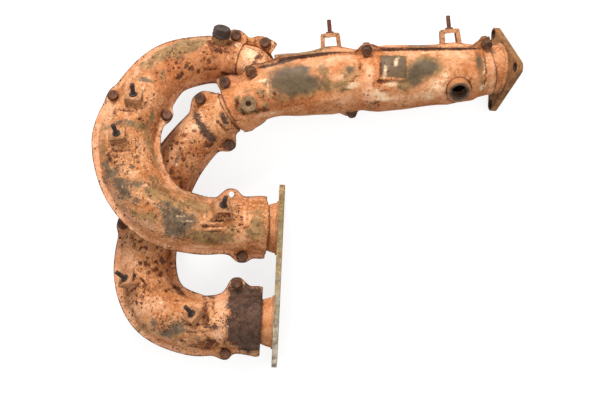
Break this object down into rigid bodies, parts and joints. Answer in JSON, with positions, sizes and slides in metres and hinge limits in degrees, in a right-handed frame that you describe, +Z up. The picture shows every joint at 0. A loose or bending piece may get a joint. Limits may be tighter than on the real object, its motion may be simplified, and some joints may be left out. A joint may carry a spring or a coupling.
{
  "type": "exhaust manifold",
  "caption": "Rusty tubular exhaust manifold: two looping branch pipes from a head flange join in a collector with an outlet flange, all wrapped in bolted sheet heat shields.",
  "frame": {"origin": "centre of the head flange's face that meets the cylinder head, midway between the two ports", "axes": "+X out of the head face, away from the pipes; +Y along the row of ports towards the collector; +Z up from the floor the part lies on"},
  "size_m": [0.467, 0.3953, 0.1188],
  "materials": {
    "shield_sheet": "salmon and orange rust with dark stains, on pressed sheet",
    "pipe_steel": "orange rust with scaled patches",
    "head_flange_steel": "olive and brown, bare along its edge",
    "outlet_flange_steel": "thick brown rust",
    "bracket_steel": "brown rust",
    "fastener_steel": "dark brown scale"
  },
  "bodies": {
    "root": {"head_flange": "head_flange_steel", "upper_pipe": "pipe_steel", "lower_pipe": "pipe_steel", "collector_pipe": "pipe_steel", "outlet_flange": "outlet_flange_steel", "upper_shield_front": "shield_sheet", "upper_shield_back": "shield_sheet", "lower_shield_front": "shield_sheet", "lower_shield_back": "shield_sheet", "collector_shield_front": "shield_sheet", "collector_shield_back": "shield_sheet", "oxygen_sensor_bung": "pipe_steel", "plug_boss": "fastener_steel", "plug": "fastener_steel", "weld_nut": "bracket_steel", "stud_bracket_1": "bracket_steel", "stud_bracket_2": "bracket_steel", "stud_bracket_3": "bracket_steel", "stud_bracket_4": "bracket_steel", "stud_bracket_5": "bracket_steel", "stud_bracket_6": "bracket_steel", "stud_bracket_7": "bracket_steel", "mounting_stud_1": "fastener_steel", "mounting_stud_2": "fastener_steel", "mounting_stud_3": "fastener_steel", "mounting_stud_4": "fastener_steel", "mounting_stud_5": "fastener_steel", "mounting_stud_6": "fastener_steel", "mounting_stud_7": "fastener_steel", "clamp_bolt_1": "fastener_steel", "clamp_bolt_2": "fastener_steel", "clamp_bolt_3": "fastener_steel", "clamp_bolt_4": "fastener_steel", "clamp_bolt_5": "fastener_steel", "clamp_bolt_6": "fastener_steel", "clamp_bolt_7": "fastener_steel", "clamp_bolt_8": "fastener_steel", "clamp_bolt_9": "fastener_steel", "clamp_bolt_10": "fastener_steel", "clamp_bolt_11": "fastener_steel", "clamp_bolt_12": "fastener_steel", "clamp_bolt_13": "fastener_steel", "clamp_bolt_14": "fastener_steel", "clamp_bolt_15": "fastener_steel", "clamp_nut_1": "fastener_steel", "clamp_nut_2": "fastener_steel", "clamp_nut_3": "fastener_steel", "clamp_nut_4": "fastener_steel", "clamp_nut_5": "fastener_steel", "clamp_nut_6": "fastener_steel", "clamp_nut_7": "fastener_steel", "clamp_nut_8": "fastener_steel", "clamp_nut_9": "fastener_steel", "clamp_nut_10": "fastener_steel", "clamp_nut_11": "fastener_steel", "clamp_nut_12": "fastener_steel", "clamp_nut_13": "fastener_steel", "clamp_nut_14": "fastener_steel", "clamp_nut_15": "fastener_steel"}
  },
  "joints": []
}
